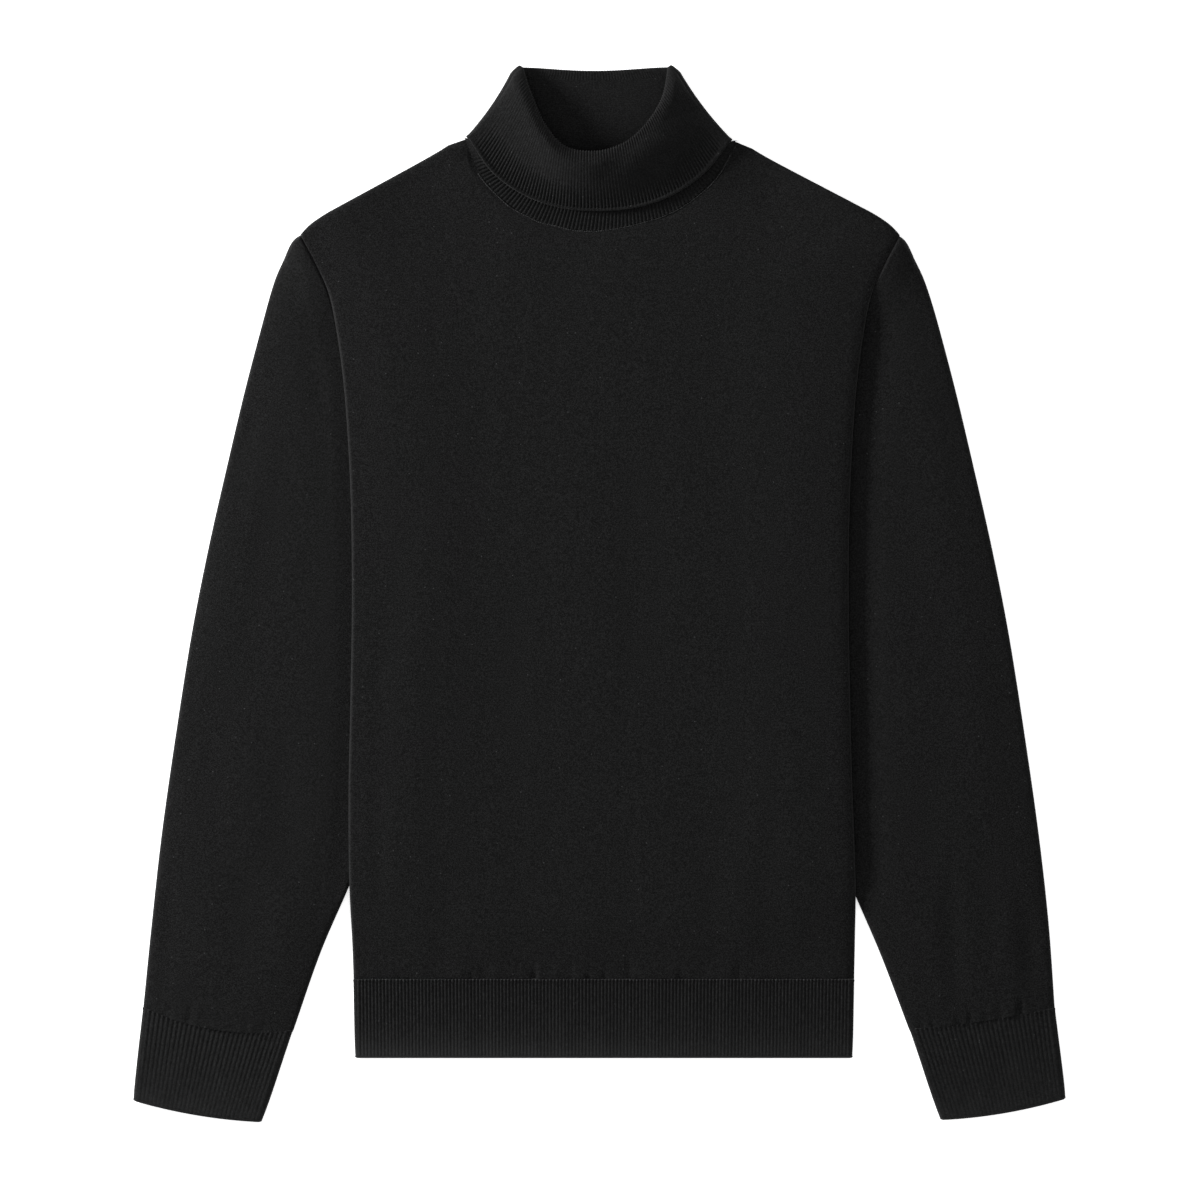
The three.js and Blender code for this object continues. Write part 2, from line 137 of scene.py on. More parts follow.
def facesOut(points, quads):
    a, b, c, d = (points[quads[:, i]] for i in range(4))
    return (a * np.cross(b, c)).sum() + (a * np.cross(c, d)).sum() > 0


def addPiece(name, mesh, material):
    mesh.polygons.foreach_set("use_smooth", np.ones(len(mesh.polygons), bool))
    mesh.materials.append(material)
    piece = bpy.data.objects.new(name, mesh)
    bpy.context.scene.collection.objects.link(piece)
    return piece


def makeShell(name, points, stitches, wrapRows, material, shades=None):
    rows, columns = points.shape[:2]
    flat = points.reshape(-1, 3)
    r, c = np.meshgrid(np.arange(rows if wrapRows else rows - 1), np.arange(columns), indexing="ij")
    corners = [(r, c), (r, c + 1), (r + 1, c + 1), (r + 1, c)]
    quads = np.stack([(i % rows) * columns + j % columns for i, j in corners], 2).reshape(-1, 4)
    places = np.stack([stitches[i, j] for i, j in corners], 2).reshape(-1, 4, 2)
    if not wrapRows:  # the ring lies flat, so each end closes on itself
        half = columns // 2
        j = np.arange(half - 1)
        for row in (0, rows - 1):
            end = row * columns + np.stack([j, j + 1, columns - 2 - j, columns - 1 - j], 1)
            if row == 0:
                end = end[:, ::-1]
            quads = join([quads, end])
            places = join([places, stitches[end // columns, end % columns]])
    if not facesOut(flat, quads):
        quads, places = quads[:, ::-1], places[:, ::-1]
    mesh = bpy.data.meshes.new(name)
    mesh.from_pydata((flat * mm).tolist(), [], quads.tolist())
    mesh.uv_layers.new(name="stitches").uv.foreach_set("vector", places.astype(np.float32).ravel())
    for shade, values in (shades or {}).items():  # painted groove shade and painted edge highlight, as attributes which the material reads
        layer = mesh.attributes.new(shade, "FLOAT", "POINT").data
        layer.foreach_set("value", values.astype(np.float32).ravel())
    piece = addPiece(name, mesh, material)
    mesh.set_sharp_from_angle(angle=sharpBend)
    mesh.update()
    return piece


def makeStitches(name, centres, along, size, spread, dice):  # many small stitches as one mesh
    rings, sides = 5, 6
    upward = np.tile([0.0, 0.0, 1.0], (len(centres), 1))
    sizes = np.array(size)[None] * dice.uniform(*spread, (len(centres), 1))
    u, v = np.meshgrid(np.linspace(0, math.pi, rings), np.arange(sides) * tau / sides, indexing="ij")
    ball = np.stack([np.cos(u), np.sin(u) * np.cos(v), np.sin(u) * np.sin(v)], 2)
    r, c = np.meshgrid(np.arange(rings - 1), np.arange(sides), indexing="ij")
    corners = [(r, c), (r, (c + 1) % sides), (r + 1, (c + 1) % sides), (r + 1, c)]
    quads = np.stack([i * sides + j for i, j in corners], 2).reshape(-1, 4)
    axes = np.stack([along, np.cross(upward, along), upward], 1) * sizes[:, :, None]
    points = centres[:, None] + np.einsum("pk,nkd->npd", ball.reshape(-1, 3), axes)
    faces = quads[None] + (np.arange(len(centres)) * rings * sides)[:, None, None]
    mesh = bpy.data.meshes.new(name)
    mesh.from_pydata((points.reshape(-1, 3) * mm).tolist(), [], faces.reshape(-1, 4).tolist())
    clean = bmesh.new()
    clean.from_mesh(mesh)
    bmesh.ops.remove_doubles(clean, verts=clean.verts, dist=1e-7)
    bmesh.ops.recalc_face_normals(clean, faces=clean.faces)
    clean.to_mesh(mesh)
    clean.free()
    mesh.uv_layers.new(name="stitches")
    return addPiece(name, mesh, highlitLinkingYarn)


class Wire:  # one socket of a material, so that shader maths reads as Python
    def __init__(self, tree, socket=None):
        self.tree = tree
        self.socket = socket

    def node(self, kind, settings=None, inputs=None, output=0):
        made = self.tree.nodes.new(kind)
        for name, value in (settings or {}).items():
            setattr(made, name, value)
        for name, value in (inputs or {}).items():
            if isinstance(value, Wire):
                self.tree.links.new(value.socket, made.inputs[name])
            else:
                made.inputs[name].default_value = value
        return Wire(self.tree, made.outputs[output] if made.outputs else None)

    def other(self, output):  # another socket of the same node
        return Wire(self.tree, self.socket.node.outputs[output])

    def maths(self, operation, *values):
        return self.node("ShaderNodeMath", {"operation": operation}, dict(enumerate(values)))

    def __add__(self, other):
        return self.maths("ADD", self, other)

    def __sub__(self, other):
        return self.maths("SUBTRACT", self, other)

    def __rsub__(self, other):
        return self.maths("SUBTRACT", other, self)

    def __mul__(self, other):
        return self.maths("MULTIPLY", self, other)

    def __pow__(self, other):
        return self.maths("POWER", self, other)

    __radd__, __rmul__ = __add__, __mul__

    def fraction(self):
        return self.maths("FRACT", self)

    def wave(self):  # 0 to 1 and back over each whole number
        return self.maths("SINE", self * tau) * 0.5 + 0.5

    def size(self):
        return self.maths("ABSOLUTE", self)

    def rise(self, low, high):  # 0 below low, 1 above high
        inputs = {"Value": self, "From Min": low, "From Max": high}
        return self.node("ShaderNodeMapRange", {"interpolation_type": "SMOOTHSTEP"}, inputs)

    def tint(self, colourA, colourB):  # colour A where this is 0, B where it is 1
        inputs = {"Factor": self, "A": colourA, "B": colourB}
        made = self.node("ShaderNodeMix", {"data_type": "RGBA"})
        mix = made.socket.node
        for name, value in inputs.items():
            socket = next(s for s in mix.inputs if s.name == name and s.enabled)
            if isinstance(value, Wire):
                self.tree.links.new(value.socket, socket)
            else:
                socket.default_value = value
        return Wire(self.tree, next(s for s in mix.outputs if s.enabled))


def grey(level, blue):
    return (level, level * (1 + blue * 0.5), level * (1 + blue), 1)


jerseyLook = {
    "dark": grey(0.0008, 0.02),
    "light": grey(0.0097, 0.03),
    "speck": grey(0.038, 0.03),
    "speckShare": 0.68,  # higher is fewer
    "sheen": 0.045,
    "sheenRoughness": 0.5,
    "specular": 0.08,
    "bump": 0.6,
    "bumpHeight": 0.5,  # millimetres
    "grooveShade": 0,  # how far painted shade darkens the grooves between ribs
    "paintedHighlight": grey(0.030, 0.03),  # painted highlight along an edge, for the light rim that backlit fuzz shows there
}
knit = {  # noises have scale, detail and roughness; the rest are shares
    "wobble": (300, 2),
    "wobbleSize": 0.7,
    "slant": 0.55,
    "legShape": 0.7,
    "courseShare": 0.55,
    "fuzz": (2200, 2, 0.7),
    "heather": (950, 3, 0.9),
    "mottle": (330, 2, 0.5),
    "broken": (520, 2, 0.7),
    "brokenRise": (0.25, 0.65),
    "height": {"yarn": 0.6, "fuzz": 0.5, "heather": 0.45},
    "grain": {"yarn": 0.25, "fuzz": 0.3, "heather": 2.6, "mottle": 0.2, "less": 1.2},
    "toneRise": (0.26, 0.74),
    "speckScale": 170.0,
    "speckRise": (0.02, 0.11),
    "speckSoftness": 0.1,
    "paintedHighlightRise": (0.4, 0.6),
    "roughness": (0.84, 0.12),
}
# lit copy: the ribs are the jersey's wool, painted lighter for how the light falls on them
ribLookLit = {**jerseyLook, "dark": grey(0.0018, 0.02), "light": grey(0.0122, 0.03), "grooveShade": 0.7}
# shaded copy: the collar is the same wool, painted darker for the shade it lies in
collarLookShaded = {**ribLookLit, "dark": grey(0.0012, 0.02), "light": grey(0.0094, 0.03)}


def woolMaterial(name, look):
    material = bpy.data.materials.new(name)
    material.use_nodes = True
    tree = material.node_tree
    tree.nodes.clear()
    start = Wire(tree)
    place = start.node("ShaderNodeTexCoord", output="Object")
    stitchMap = start.node("ShaderNodeUVMap", {"uv_map": "stitches"})
    split = start.node("ShaderNodeSeparateXYZ", None, {"Vector": stitchMap})
    wales, courses = split, split.other("Y")

    def noise(scale, detail, roughness=0.5):
        inputs = {"Vector": place, "Scale": scale, "Detail": detail, "Roughness": roughness}
        return start.node("ShaderNodeTexNoise", None, inputs)

    wobble = noise(*knit["wobble"]) * knit["wobbleSize"] - knit["wobbleSize"] / 2
    side = ((wales + wobble + 0.5).fraction() - 0.5).size() * 2  # 0 mid-wale, 1 between wales
    leg = 1 - (side - 0.5).size() * 2
    course = (courses + side * knit["slant"] + wobble).wave()
    yarn = leg ** knit["legShape"] * (1 - knit["courseShare"] + course * knit["courseShare"])
    fuzz = noise(*knit["fuzz"])
    heather = noise(*knit["heather"])
    mottle = noise(*knit["mottle"])
    share = knit["height"]
    height = yarn * share["yarn"] + fuzz * share["fuzz"] + heather * share["heather"]
    share = knit["grain"]
    grain = yarn * share["yarn"] + fuzz * share["fuzz"] + heather * share["heather"]
    grain = grain + mottle * share["mottle"] - share["less"]
    tone = grain.rise(*knit["toneRise"])
    # painted shade: the grooves between ribs are darkened in colour, where shade falls between them
    if look["grooveShade"]:  # two wales to a rib, with the groove between them
        crest = (wales * 0.5 - 0.25).wave()
        grooveShadeMask = start.node("ShaderNodeAttribute", {"attribute_name": "grooveShadeMask"}, output="Fac")
        broken = noise(*knit["broken"]).rise(*knit["brokenRise"])  # the painted groove shade is broken here and there, where nap hides the grooves
        tone = tone * (1 - (1 - crest) * grooveShadeMask * broken * look["grooveShade"])
    cells = start.node("ShaderNodeTexVoronoi", {"feature": "F1"}, {
        "Vector": place, "Scale": knit["speckScale"]})
    chosen = start.node("ShaderNodeSeparateColor", None, {"Color": cells.other("Color")})
    rare = chosen.rise(look["speckShare"], look["speckShare"] + knit["speckSoftness"])
    speck = (1 - cells.rise(*knit["speckRise"])) * rare
    colour = speck.tint(tone.tint(look["dark"], look["light"]), look["speck"])
    # painted highlight: a lighter colour along the ribs' ends, standing in for the light rim there
    if look["grooveShade"]:
        paintedHighlight = start.node("ShaderNodeAttribute", {"attribute_name": "paintedHighlight"}, output="Fac")
        highlightLow, highlightMore = knit["paintedHighlightRise"]
        colour = (paintedHighlight * (highlightLow + heather * highlightMore)).tint(colour, look["paintedHighlight"])
    smooth, rough = knit["roughness"]
    bump = start.node("ShaderNodeBump", None, {
        "Strength": look["bump"], "Distance": look["bumpHeight"] * mm, "Height": height})
    shader = start.node("ShaderNodeBsdfPrincipled", None, {
        "Base Color": colour,
        "Roughness": fuzz * rough + smooth,
        "Specular IOR Level": look["specular"],
        "Sheen Weight": look["sheen"],
        "Sheen Roughness": look["sheenRoughness"],
        "Sheen Tint": (1, 1, 1, 1),
        "Normal": bump,
    })
    start.node("ShaderNodeOutputMaterial", None, {"Surface": shader})
    return material


# painted highlight: the linking stitches are the same wool, coloured lighter for the light their raised
# loops catch
highlitYarnLook = {**jerseyLook, "dark": grey(0.009, 0.02), "light": grey(0.036, 0.03), "speckShare": 0.95}
jerseyWool = woolMaterial("jersey_wool", jerseyLook)
highlitLinkingYarn = woolMaterial("linking_yarn_highlight", highlitYarnLook)
ribWoolLit = woolMaterial("rib_wool_lit", ribLookLit)
collarWoolShaded = woolMaterial("collar_wool_shaded", collarLookShaded)
print("wool made")

# the body's outline, which the panels, the hem and the sleeves' lift all read
body = {
    "edge": [  # height up the body, half-width
        (265, 223), (249, 214.5), (224, 202.6), (195, 196.3), (160, 191.5), (120, 188.2), (64, 185.6),
        (-5, 184.9), (-80, 186), (-150, 187.6), (-219, 188.5), (-258, 187.3), (-288, 186.5),
        (-346, 185.6),
    ],
    "shoulder": (223, 265),
    "shoulderSlope": 0.531,
    "shoulderRounding": {"right": 3.4, "left": 3.8},
    "shoulderRise": {"right": 1.9, "left": -0.8},  # by the collar, where the seam is thickest
    "neckRise": 4.6,
    "neckReach": 9,
    "roundedFrom": 200,
    "neckPoint": (100.2, 338),
    "hemTop": -287.9,
    "hemBottom": -346,
    "lean": 2.7,
    "leanFrom": -120,
    "fork": -219.4,
    "liftRamp": (-287, -196),
    "liftEnds": 26,
    "edgeBand": 110,
    "crown": 2.7,  # what the middle adds to the loft, away from the neck
    "crownFrom": (285, 225),
    "loftHem": 50,
    "loftShoulder": 45,
    "backInset": 3.0,
    "tipRounding": 2.0,
    "tipReach": 10,
}


def bodyHalfWidth(y):
    return readTable(body["edge"], 1, np.minimum(y, body["shoulder"][1]))


def bodyLean(y):
    return body["lean"] * (1 - ease(y, body["hemTop"], body["leanFrom"]))


def shoulderY(x):
    out = np.abs(x)
    past = np.maximum(out - body["roundedFrom"], 0) / (body["shoulder"][0] - body["roundedFrom"])
    neckX, neckY = body["neckPoint"]
    rise = np.where(x < 0, body["shoulderRise"]["right"], body["shoulderRise"]["left"])
    rise = rise * np.clip((body["shoulder"][0] - out) / (body["shoulder"][0] - neckX), 0, 1)
    rise = rise + body["neckRise"] * np.exp(-np.maximum(out - neckX, 0) / body["neckReach"])
    rounding = np.where(x < 0, body["shoulderRounding"]["right"], body["shoulderRounding"]["left"])
    return neckY + rise - body["shoulderSlope"] * (out - neckX) - rounding * past ** 2


def bodyLift(fromEdge, y):  # the sleeve lies under the body's edge as far down as the fork
    overSleeve = 1 - ease(fromEdge, body["liftEnds"], body["edgeBand"])
    aboveFork = ease(y, *body["liftRamp"])
    return (layers["sleeve"] + layers["seamGap"]) * overSleeve * aboveFork


def frontTop(fromEdge, x, y):
    away = 1 - ease(y, *body["crownFrom"][::-1])
    loft = (layers["loft"] + body["crown"] * away) * ease(fromEdge, layers["roll"], body["edgeBand"])
    loft = loft * ease(y, body["hemTop"], body["hemTop"] + body["loftHem"])
    loft = loft * ease(shoulderY(x) - y, 0, body["loftShoulder"])
    return bodyLift(fromEdge, y) + 2 * layers["jerseyWall"] + layers["air"] + loft


# the collar's lines run from the wearer's right side to the left
collar = {
    "sections": [  # number, seam x y, turned-down edge x y, fold x y
        (0, -103.5, 339.2, -99.9, 340.1, -61.8, 394.9),
        (1, -88.5, 309.5, -81.5, 314.6, -51.2, 370.0),
        (2, -63.8, 286.6, -57.0, 297.0, -41.0, 349.5),
        (3, -34.2, 273.8, -29.8, 287.4, -25.5, 333.2),
        (4, -2.5, 270.4, -0.8, 285.0, -3.2, 329.7),
        (5, 29.2, 276.0, 28.0, 287.8, 18.5, 336.4),
        (6, 59.5, 287.2, 55.4, 297.6, 35.4, 351.8),
        (7, 85.0, 308.3, 79.5, 314.8, 47.5, 371.1),
        (8, 103.5, 337.4, 98.5, 337.8, 54.4, 395.2),
    ],
    "backY": {"seam": 319, "edge": 330, "fold": 389.6},
    "sideHeight": 8.6,
    "bulge": 2.5,
    "waist": 2.0,
    "edgeHeight": 9.2,
    "foldHeight": 23,
    "hollow": 1.1,  # above 1, the flap is steepest nearer the fold
    "arch": 0.52,
    "foldReach": 9.0,  # how far the fold's roll comes forward
    "airArch": 0.6,
    "sideTaper": 6,
    "nest": 0.4,
    "foldAir": 5.0,
    "foldBevel": 0.7,
    "frontRibs": 88,
    "backRibs": 56,
    "ribDepth": 1.0,
    "fadedRibs": 0.18,
    "foldRibs": 0.8,
    "innerRibs": 0.15,
    "backRibShow": 0.25,
    "hollows": [  # soft hollows behind the fold's roll
        (80, 372, -6, 304, 6, 9, 2.4),
        (-72, 352, -40, 318, -3, 9, 0.8),
    ],
    "standRibs": 0.7,
    "sideRibs": 0.0,
    "sideShare": 0.05,
    "clear": 0.2,  # the stand's foot above the body
}
collarColumn = {"seam": 1, "edge": 3, "fold": 5}


def collarAt(name, t):
    column = collarColumn[name]
    at = np.asarray(t, float) * (len(collar["sections"]) - 1)
    x = readTable(collar["sections"], column, at)
    return np.stack([x, readTable(collar["sections"], column + 1, at)], -1)


def collarBackAt(name, t):
    t = np.asarray(t, float)
    right, left = collarAt(name, 0.0), collarAt(name, 1.0)
    sag = collar["backY"][name] - (right[1] + left[1]) / 2
    line = blend(right, left, t[..., None])
    line[..., 1] += sag * np.sin(math.pi * t)
    return line


front = {
    "rows": 230,
    "rollWidth": 2.2,  # the rolled side seen from above
    "rollSteps": 7,
    "bandSteps": 34,
    "neckSteps": 84,
    "waleWidth": 1.45,
    "courseHeight": 1.15,
    "topRoll": 4.5,
    "topDrop": 2.4,
    "topReach": 6,  # how near the collar's corner the rolled top starts
    "underBand": 3.0,  # how far the neckline goes in under the collar
    "neckDown": 6,  # how much more the neckline faces down than out
    "neckDip": 1.1,
    "neckDipReach": (1.5, 6),
    "cornerRise": 3.4,  # the panel runs up to the collar's two corners
    "cornerShare": 0.025,
    "edgeDrop": {"right": 0.3, "left": 1.4},
    "edgeSoftness": 4.5,
    "hemDip": 0.9,  # the knitting draws in just above the rib
    "hemDipAt": (0.8, 1.3),
    "hemFade": (-2, 2.5),
    "edgeFade": 22,
    "swells": [(0.15, 0.35, 80, 3), (0.05, 0.4, 17, 5)],
    "folds": [  # from x y to x y, bow, width, depth
        (-158, 60, -160, -272, 3, 10, 0.5),
        (-171, -120, -163, -268, -2, 6, 0.4),
        (-146, 118, -152, -60, -4, 12, 0.4),
        (-60, 40, -68, -180, 4, 16, 0.5),
        (28, 110, 20, -90, -5, 18, 0.5),
        (128, -150, 133, -282, 3, 9, 0.7),
        (112, -175, 118, -284, -3, 7, 0.4),
        (92, -200, 80, -286, 2, 8, 0.4),
        (150, 60, 156, -130, 4, 12, 0.4),
        (-108, -205, -116, -283, 3, 9, 0.35),
        (-20, -190, -26, -285, 2, 10, 0.3),
    ],
}
back = {
    "rows": 120,
    "edgeSteps": 22,
    "neckSteps": 50,
    "insideFrom": (4, 30),
    "aboveHem": 12,
    "sag": 0.35,
    "foldShare": 0.7,
    "swell": 0.2,
    "lowest": 0.9,  # as a share of the lift
    "folds": [
        (-120, 120, -112, -200, 6, 16, 0.7),
        (96, 90, 110, -240, -5, 14, 0.8),
        (10, 200, -14, -60, 4, 20, 0.6),
        (-60, -120, -50, -280, 3, 9, 0.6),
        (60, -160, 52, -284, -3, 8, 0.7),
    ],
}
puckers = {"count": 38, "length": (7, 19), "width": (1.4, 3.0), "depth": (0.2, 0.8),
           "turn": 0.12, "usual": 0.75, "deeper": 1.7, "below": 6}


def puckerRow(seed, x0, y0, x1, y1, count, upwards):  # short gathers along a rib's top edge
    dice = np.random.default_rng(seed)
    row = []
    for _ in range(count):
        part = dice.uniform(0.02, 0.98)
        x, y = blend(x0, x1, part), blend(y0, y1, part)
        length = dice.uniform(*puckers["length"])
        turn = dice.normal(0, puckers["turn"])
        dx, dy = upwards[0] + turn * upwards[1], upwards[1] - turn * upwards[0]
        depth = dice.uniform(*puckers["depth"])
        depth *= 1 if dice.random() < puckers["usual"] else puckers["deeper"]
        width = dice.uniform(*puckers["width"])
        below = puckers["below"]
        row.append((x - dx * below, y - dy * below, x + dx * length, y + dy * length, 0, width, depth))
    return row


def panelColumns(edgeDistances, neckLine, neckSteps):
    inner = body["shoulder"][0] - body["edgeBand"]
    neck = neckLine(np.linspace(0, 1, neckSteps + 1)[1:-1])
    beside, between = np.ones(len(edgeDistances)), np.zeros(len(neck))
    side = join([-beside, between, beside])
    fromEdge = join([edgeDistances, between, edgeDistances[::-1]])
    spread = join([0 * beside, neck[:, 0] / inner, 0 * beside])
    rounding = body["tipRounding"] * np.clip(1 - edgeDistances / body["tipReach"], 0, 1) ** 2
    out = body["shoulder"][0] - edgeDistances
    rightTop, leftTop = shoulderY(-out) - rounding, shoulderY(out) - rounding
    topY = join([rightTop, neck[:, 1], leftTop[::-1]])
    return side, fromEdge, spread, topY


def panelPlaces(columns, rowParts):
    side, fromEdge, spread, topY = (c[None] for c in columns)
    y = blend(topY, body["hemTop"], rowParts[:, None])
    half = bodyHalfWidth(y)
    inner = half - body["edgeBand"]
    beside = side != 0
    x = np.where(beside, side * (half - fromEdge), spread * inner) + bodyLean(y)
    depth = np.where(beside, fromEdge, body["edgeBand"] + (1 - np.abs(spread)) * inner)
    return x, y, depth


def neckOutward(line):  # away from the collar, in the plane
    out = np.stack([line[:, 0], (line[:, 1] - body["neckPoint"][1]) * front["neckDown"]], 1)
    return out / norm(out, axis=1, keepdims=True)


def frontNeck(t):
    line = collarAt("seam", t)
    line = line - neckOutward(line) * front["underBand"]
    fromEnd = np.minimum(t, 1 - t) / front["cornerShare"]
    return line + np.stack([0 * t, front["cornerRise"] * np.exp(-fromEnd)], 1)


def buildFront():
    roll, rollHeight = front["rollWidth"], layers["roll"]
    angles = np.linspace(0, math.pi / 2, front["rollSteps"] + 1)
    rolled = roll * (1 - np.cos(angles))
    band = roll + (body["edgeBand"] - roll) * np.linspace(0, 1, front["bandSteps"] + 1)[1:] ** 1.25
    distances = join([rolled, band])
    columns = panelColumns(distances, frontNeck, front["neckSteps"])
    parts = np.linspace(0, 1, front["rows"] - 3)
    parts = join([parts[:1], parts[1] * np.array([0.25, 0.5, 0.75]), parts[1:]])
    x, y, depth = panelPlaces(columns, parts)
    side = columns[0][None]
    angle = np.where(depth < roll, np.arccos(np.clip(1 - depth / roll, -1, 1)), math.pi / 2)
    top = frontTop(np.maximum(depth, roll), x, y)
    below = (shoulderY(x) - y) / math.hypot(1, body["shoulderSlope"])
    inShoulder = np.clip(1 - np.maximum(below, 0) / front["topRoll"], 0, 1)
    atShoulder = np.abs(x) > np.abs(collarAt("seam", 0.0)[0]) - front["topReach"]
    drop = np.where(atShoulder, front["topDrop"] * (1 - np.sqrt(1 - inShoulder ** 2)), 0)
    neckSlope = np.gradient(columns[3], x[0])
    fromNeck = (columns[3][None] - y) / np.hypot(1, neckSlope)[None]
    neckDip = front["neckDip"] * (1 - ease(fromNeck, *front["neckDipReach"]))
    drop = drop + np.where(side == 0, neckDip, 0)
    edgeDrop = np.where(side < 0, front["edgeDrop"]["right"], front["edgeDrop"]["left"])
    drop = drop + edgeDrop * np.exp(-np.maximum(depth - roll, 0) / front["edgeSoftness"])
    rows = puckerRow(11, -180, body["hemTop"], 186, body["hemTop"], puckers["count"], (0, 1))
    folds = addSwells(foldHeight(front["folds"] + rows, x, y), front["swells"], x, y)
    aboveHem = y - body["hemTop"]
    folds = folds * ease(depth, roll * 0.8, front["edgeFade"]) * ease(aboveHem, *front["hemFade"])
    dipAt, dipWidth = front["hemDipAt"]
    drop = drop + front["hemDip"] * np.exp(-((aboveHem - dipAt) / dipWidth) ** 2)

    def face(wall):
        inward = roll - (roll - wall) * np.cos(angle)
        px = np.where(depth < roll, side * (bodyHalfWidth(y) - inward) + bodyLean(y), x)
        pz = np.where(depth < roll, top - rollHeight + (rollHeight - wall) * np.sin(angle), top - wall)
        pz = pz + (folds - drop) * np.sin(angle)
        return np.stack([px, y, np.maximum(pz, 0)], 2)

    outer, inner = face(0), face(layers["jerseyWall"])
    return join([outer, inner[:, ::-1]], 1)


def panelStitches(ring):
    places = np.stack([ring[..., 0] / front["waleWidth"], ring[..., 1] / front["courseHeight"]], 2)
    return join([places, places[:, :1]], 1)


frontRing = buildFront()
frontPiece = makeShell("front_jersey", frontRing, panelStitches(frontRing), False, jerseyWool)
print("front", len(frontPiece.data.polygons))


def buildBack():
    band = np.linspace(0, 1, back["edgeSteps"] + 1) ** 1.2
    distances = body["backInset"] + (body["edgeBand"] - body["backInset"]) * band
    columns = panelColumns(distances, lambda t: collarBackAt("seam", t), back["neckSteps"])
    x, y, depth = panelPlaces(columns, np.linspace(0, 1, back["rows"]))
    wall = layers["jerseyWall"]
    lift = bodyLift(depth, y)
    inside = ease(depth, *back["insideFrom"]) * ease(y - body["hemTop"], 0, back["aboveHem"])
    folds = foldHeight(back["folds"], x, y) * inside
    swell = back["swell"] * ripple(x, y * 0.5, 60, 8) * inside
    under = lift + back["sag"] * inside - folds * back["foldShare"] + swell
    under = np.maximum(under, lift * back["lowest"])
    upper = np.stack([x, y, under + wall], 2)
    lower = np.stack([x, y, np.maximum(under, 0)], 2)
    return join([upper, lower[:, ::-1]], 1)


backRing = buildBack()
backPiece = makeShell("back_jersey", backRing, panelStitches(backRing), False, jerseyWool)
print("back", len(backPiece.data.polygons))

# sleeves, cuffs and hem are flattened tubes
sleeve = {
    "sections": [  # outer x y, inner x y, bow; the inner end lies under the body down to the fork
        (216, 270.5, 168, 92, 15), (228.5, 263, 167, 80, 13), (236, 248, 166, 68, 11),
        (243.5, 230, 165.5, 54, 9), (253, 196, 165, 30, 6), (265, 150, 165, -4, 3),
        (278, 95, 165.5, -46, 1), (292, 33, 166, -92, 0), (304.5, -31, 167, -137, 0),
        (316, -104, 170, -177, 0), (326.5, -178, 188.5, -221.5, -1), (334, -245, 208.5, -268, -2),
    ],
    "cuffTop": {"left": (338.6, -309, 230.2, -325, -1.5), "right": (340.4, -308.6, 228.6, -325.6, -8)},
    "rows": 150,
    "topSteps": 62,
    "sideSteps": 10,
    "edgeSoftness": 7,
    "edgeDrop": 1.5,
    "pressed": {"right": 1.0, "left": 3.3},  # how flat the body's weight presses it beside the body
    "pressedReach": 20,
    "headIn": {"right": 0.0, "left": 1.7},
    "headInFrom": (195, 268),
    "headLift": 4.3,
    "headFrom": (188, 250),
    "headReach": 24,
    "headSide": (-3, 1),
    "pressedFork": (-25, 30),
    "clearOfBody": (-2, 14),  # creases start there, and anywhere below the fork
    "clearBelow": 20,
    "crown": 1.0,
    "crownReach": 40,
    "swells": [(0.2, 0.4, 60, 31), (0.05, 0.5, 15, 41)],
    "gathers": 9,
    "gatherLean": 0.12,
    "underShare": 0.5,
    "underShift": (9, -14),
    "underMost": 1.2,
    "innerFloor": 0.2,
    "folds": {
        "right": [  # image left
            (-208, 195, -203, 60, 3, 8, 0.5),
            (-222, 215, -214, 110, -3, 7, 0.35),
            (-254, 155, -272, 45, 4, 10, 0.7),
            (-244, 120, -258, -40, -3, 12, 0.4),
            (-276, -40, -288, -190, 4, 13, 0.4),
            (-322, -200, -328, -306, -3, 8, 0.7),
            (-302, -215, -305, -300, 2, 8, 0.35),
            (-262, -180, -270, -305, 3, 11, 0.35),
            (-238, -100, -240, -230, -4, 12, 0.4),
        ],
        "left": [
            (262, -185, 266, -322, 2, 7, 1.0),
            (312, -215, 320, -312, -3, 7, 1.0),
            (288, -150, 292, -300, 3, 10, 0.4),
            (242, -120, 250, -250, 3, 12, 0.4),
            (252, 175, 268, 40, -4, 10, 0.45),
            (226, 110, 236, -40, 3, 12, 0.35),
            (282, 20, 296, -130, -4, 11, 0.4),
        ],
    },
}
cuff = {
    "bottom": {"left": (347.2, -376.2, 253.0, -392.2, -3), "right": (348.4, -377.6, 251.8, -393.8, -3)},
    "ribs": 30,
    "ribDepth": 0.45,
    "grooveShadeShow": (0.5, 0.2),  # how dark the painted shade in the grooves is, at the top and at the end
    "paintedHighlightSide": (0.35, 0.15),  # strength of the painted highlight along the end, image left and right; the key light's side is lighter
    "length": 68,
}
hem = {
    "ribs": 142,
    "ribDepth": 0.8,
    "grooveShadeShow": (0.75, 0.2),
    "paintedHighlightSide": (0.75, 0.35),
    "length": 58,
}
ribCloth = {
    "rows": 22,
    "ribPoints": 8,  # round each rib, the collar's too
    "overlap": 1.1,
    "endDrop": 0.9,
    "shape": 1.35,  # above 1, the grooves are narrower than the ribs
    "wear": (0.8, 0.35),  # how much of their depth is left, at the top and at the end
    "knob": 0.35,
    "knobAt": (1.3, 0.9),
    "lip": (0.9, 1.6),  # height and length of the rounding at the end
    "topLip": (0.8, 1.2),
    "endReach": 7,
    "swell": 0.1,
    "underside": 0.35,  # how much of the relief lies underneath
    "paintedHighlightReach": 9,
    "firstSteps": (0, 0.6, 1.3, 2.1),
    "lastSteps": (1.6, 1.0, 0.5, 0.2, 0),
}


def ribShape(phase):  # 0 on a rib's crest, -1 in the groove between two
    return -(0.5 - 0.5 * np.cos(tau * phase)) ** ribCloth["shape"]


